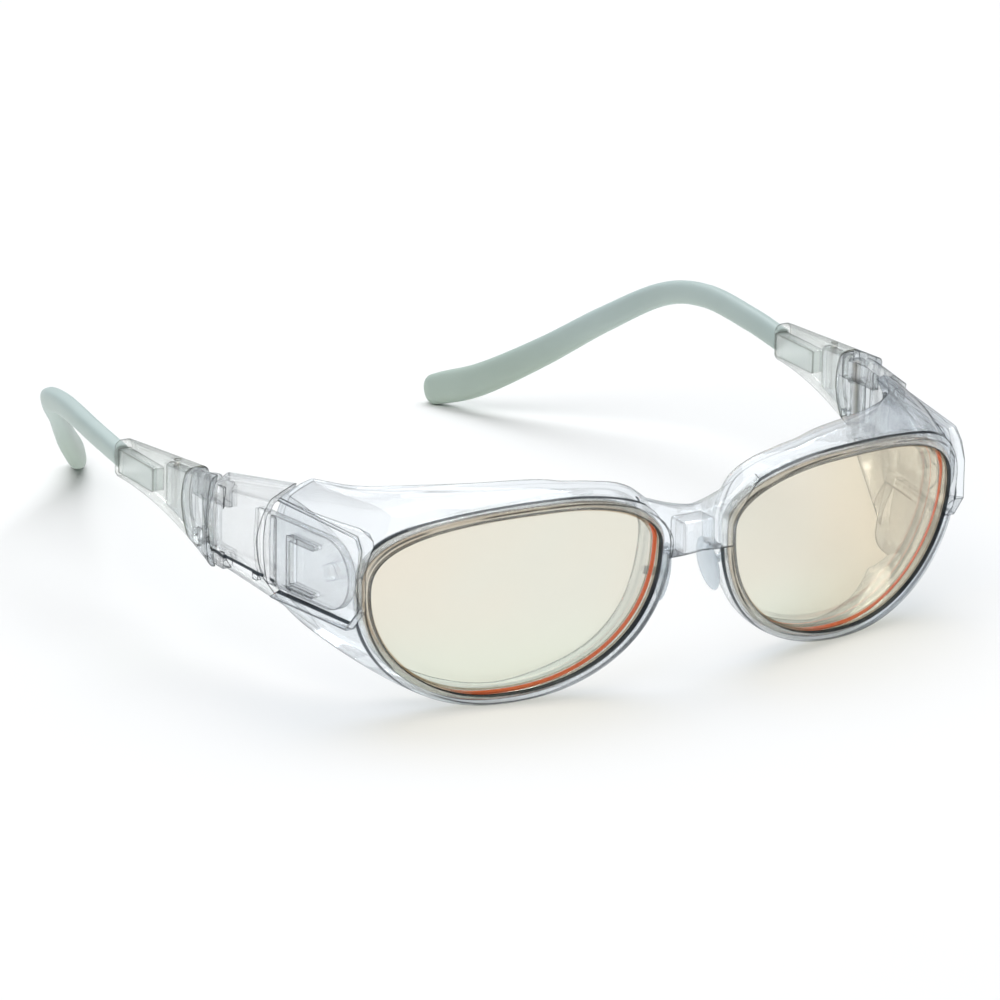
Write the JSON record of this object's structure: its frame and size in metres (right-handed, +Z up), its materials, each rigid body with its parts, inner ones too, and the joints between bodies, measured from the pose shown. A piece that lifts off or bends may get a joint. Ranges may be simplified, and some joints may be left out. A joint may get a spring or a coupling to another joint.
{
  "type": "safety glasses",
  "caption": "Wraparound over-spectacle safety glasses: clear hooded front, tinted lenses, hinges that tilt and fold, smoky sleeves and soft grey ear-hook temples.",
  "frame": {"origin": "on the table, below the middle of the glasses' bounding box, with the temples open", "axes": "+X towards the wearer's left, +Y from the nose towards the ears, +Z up"},
  "size_m": [0.1514, 0.1689, 0.0424],
  "materials": {
    "frame_clear": "polished water-clear polycarbonate",
    "lens_tint": "polished pale amber polycarbonate with a hard coat",
    "pad_silicone": "soft translucent silicone",
    "rivet_clear": "clear moulded rivet",
    "pin_steel": "drawn steel pin",
    "sleeve_smoke": "smoky grey-green clear plastic",
    "core_grey": "stiff grey plastic with a satin skin",
    "temple_soft": "satin grey elastomer with a green-blue cast"
  },
  "bodies": {
    "front": {"front_frame": "frame_clear", "lens_right": "lens_tint", "lens_left": "lens_tint", "nose_pad_right": "pad_silicone", "nose_pad_left": "pad_silicone"},
    "adapter_right": {"hinge_adapter_right": "frame_clear", "tilt_rivet_right": "rivet_clear", "fold_pin_right": "pin_steel"},
    "temple_right": {"hinge_knuckle_right": "frame_clear", "sleeve_lock_pin_right": "pin_steel", "temple_sleeve_right": "sleeve_smoke", "temple_core_right": "core_grey", "temple_tip_right": "temple_soft"},
    "adapter_left": {"hinge_adapter_left": "frame_clear", "tilt_rivet_left": "rivet_clear", "fold_pin_left": "pin_steel"},
    "temple_left": {"hinge_knuckle_left": "frame_clear", "sleeve_lock_pin_left": "pin_steel", "temple_sleeve_left": "sleeve_smoke", "temple_core_left": "core_grey", "temple_tip_left": "temple_soft"}
  },
  "joints": [
    {"name": "tilt_right", "type": "hinge", "parent": "front", "child": "adapter_right", "pos_m": [-0.06755, -0.06125, 0.02638], "axis": [0.9907, 0.1357, 0], "range_deg": [-3.5, 5.5]},
    {"name": "fold_right", "type": "hinge", "parent": "adapter_right", "child": "temple_right", "pos_m": [-0.07135, -0.02675, 0.0274], "axis": [0, 0, -1], "range_deg": [0, 78]},
    {"name": "tilt_left", "type": "hinge", "parent": "front", "child": "adapter_left", "pos_m": [0.06755, -0.06125, 0.02638], "axis": [0.9907, -0.1357, 0], "range_deg": [-3.5, 5.5]},
    {"name": "fold_left", "type": "hinge", "parent": "adapter_left", "child": "temple_left", "pos_m": [0.07135, -0.02675, 0.0274], "axis": [0, 0, 1], "range_deg": [0, 92]}
  ]
}
